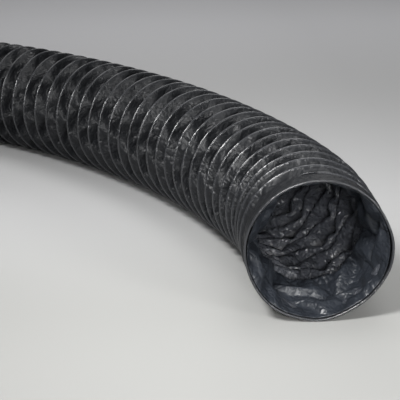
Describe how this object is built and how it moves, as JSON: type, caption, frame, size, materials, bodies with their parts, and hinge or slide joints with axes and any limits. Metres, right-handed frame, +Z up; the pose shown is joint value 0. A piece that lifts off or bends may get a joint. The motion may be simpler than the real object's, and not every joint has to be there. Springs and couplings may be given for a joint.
{
  "type": "flexible air duct",
  "caption": "Flexible round air duct of black coated fabric over a spring wire helix, with a sewn cuff and a loose lining at each end, lying in a gentle bend.",
  "frame": {"origin": "centre of the front mouth, in the plane of its rim", "axes": "+Y runs from the front mouth into the duct, +Z is up from the floor it lies on, +X is to the right seen from in front of the mouth"},
  "size_m": [1.1824, 1.8331, 0.3164],
  "materials": {
    "duct_fabric": "black PVC-coated polyester, satin",
    "lining_fabric": "black coated fabric, satin with a faint blue sheen",
    "cuff_fabric": "black PVC-coated polyester folded over the hoop, satin",
    "thread": "black polyester sewing thread",
    "spring_wire": "drawn spring steel wire"
  },
  "bodies": {
    "section_01": {"front_rim_hoop": "spring_wire", "front_cuff": "cuff_fabric", "front_cuff_stitches": "thread", "front_lining": "lining_fabric", "sleeve_01": "duct_fabric", "wire_01": "spring_wire"},
    "section_02": {"sleeve_02": "duct_fabric", "wire_02": "spring_wire"},
    "section_03": {"sleeve_03": "duct_fabric", "wire_03": "spring_wire"},
    "section_04": {"sleeve_04": "duct_fabric", "wire_04": "spring_wire"},
    "section_05": {"sleeve_05": "duct_fabric", "wire_05": "spring_wire"},
    "section_06": {"sleeve_06": "duct_fabric", "wire_06": "spring_wire"},
    "section_07": {"sleeve_07": "duct_fabric", "wire_07": "spring_wire"},
    "section_08": {"sleeve_08": "duct_fabric", "wire_08": "spring_wire"},
    "section_09": {"sleeve_09": "duct_fabric", "wire_09": "spring_wire"},
    "section_10": {"sleeve_10": "duct_fabric", "wire_10": "spring_wire"},
    "section_11": {"sleeve_11": "duct_fabric", "wire_11": "spring_wire"},
    "section_12": {"sleeve_12": "duct_fabric", "wire_12": "spring_wire"},
    "section_13": {"sleeve_13": "duct_fabric", "wire_13": "spring_wire"},
    "section_14": {"sleeve_14": "duct_fabric", "wire_14": "spring_wire"},
    "section_15": {"sleeve_15": "duct_fabric", "wire_15": "spring_wire"},
    "section_16": {"sleeve_16": "duct_fabric", "wire_16": "spring_wire"},
    "section_17": {"sleeve_17": "duct_fabric", "wire_17": "spring_wire", "rear_rim_hoop": "spring_wire", "rear_cuff": "cuff_fabric", "rear_cuff_stitches": "thread", "rear_lining": "lining_fabric"}
  },
  "joints": [
    {"name": "bend_01", "type": "hinge", "parent": "section_02", "child": "section_01", "pos_m": [0, 0.17, 0], "axis": [0, 0, -1], "range_deg": [-15.9, 6.1], "deforming": ["sleeve_01", "sleeve_02", "front_lining"]},
    {"name": "lift_02", "type": "hinge", "parent": "section_03", "child": "section_02", "pos_m": [-0.00956, 0.28145, 0], "axis": [-0.9854, -0.1702, 0], "range_deg": [-5, 5], "deforming": ["sleeve_02", "sleeve_03"]},
    {"name": "bend_03", "type": "hinge", "parent": "section_04", "child": "section_03", "pos_m": [-0.03234, 0.39109, 0], "axis": [0, 0, -1], "range_deg": [-14.43, 7.57], "deforming": ["sleeve_03", "sleeve_04"]},
    {"name": "squeeze_04", "type": "slide", "parent": "section_05", "child": "section_04", "axis": [0.2866, -0.9581, 0], "range_m": [-0.036, 0.012], "deforming": ["sleeve_04", "sleeve_05"]},
    {"name": "bend_05", "type": "hinge", "parent": "section_06", "child": "section_05", "pos_m": [-0.09638, 0.60564, 0], "axis": [0, 0, -1], "range_deg": [-13.82, 8.18], "deforming": ["sleeve_05", "sleeve_06"]},
    {"name": "bend_06", "type": "hinge", "parent": "section_07", "child": "section_06", "pos_m": [-0.13629, 0.71028, 0], "axis": [0, 0, -1], "range_deg": [-13.8, 8.2], "deforming": ["sleeve_06", "sleeve_07"]},
    {"name": "bend_07", "type": "hinge", "parent": "section_08", "child": "section_07", "pos_m": [-0.18128, 0.81283, 0], "axis": [0, 0, -1], "range_deg": [-13.8, 8.2], "deforming": ["sleeve_07", "sleeve_08"]},
    {"name": "bend_08", "type": "hinge", "parent": "section_09", "child": "section_08", "pos_m": [-0.23122, 0.91307, 0], "axis": [0, 0, -1], "range_deg": [-13.8, 8.2], "deforming": ["sleeve_08", "sleeve_09"]},
    {"name": "bend_09", "type": "hinge", "parent": "section_09", "child": "section_10", "pos_m": [-0.286, 1.01075, 0], "axis": [0, 0, 1], "range_deg": [-13.8, 8.2], "deforming": ["sleeve_09", "sleeve_10"]},
    {"name": "bend_10", "type": "hinge", "parent": "section_10", "child": "section_11", "pos_m": [-0.34548, 1.10563, 0], "axis": [0, 0, 1], "range_deg": [-13.8, 8.2], "deforming": ["sleeve_10", "sleeve_11"]},
    {"name": "bend_11", "type": "hinge", "parent": "section_11", "child": "section_12", "pos_m": [-0.40953, 1.1975, 0], "axis": [0, 0, 1], "range_deg": [-13.8, 8.2], "deforming": ["sleeve_11", "sleeve_12"]},
    {"name": "bend_12", "type": "hinge", "parent": "section_12", "child": "section_13", "pos_m": [-0.47799, 1.28613, 0], "axis": [0, 0, 1], "range_deg": [-13.8, 8.2], "deforming": ["sleeve_12", "sleeve_13"]},
    {"name": "squeeze_13", "type": "slide", "parent": "section_13", "child": "section_14", "axis": [-0.6676, 0.7445, 0], "range_m": [-0.036, 0.012], "deforming": ["sleeve_13", "sleeve_14"]},
    {"name": "bend_14", "type": "hinge", "parent": "section_14", "child": "section_15", "pos_m": [-0.62748, 1.45283, 0], "axis": [0, 0, 1], "range_deg": [-13.8, 8.2], "deforming": ["sleeve_14", "sleeve_15"]},
    {"name": "lift_15", "type": "hinge", "parent": "section_15", "child": "section_16", "pos_m": [-0.70815, 1.5305, 0], "axis": [0.6758, 0.7371, 0], "range_deg": [-5, 5], "deforming": ["sleeve_15", "sleeve_16"]},
    {"name": "bend_16", "type": "hinge", "parent": "section_16", "child": "section_17", "pos_m": [-0.79252, 1.60414, 0], "axis": [0, 0, 1], "range_deg": [-12.4, 9.6], "deforming": ["sleeve_16", "sleeve_17", "rear_lining"]}
  ]
}
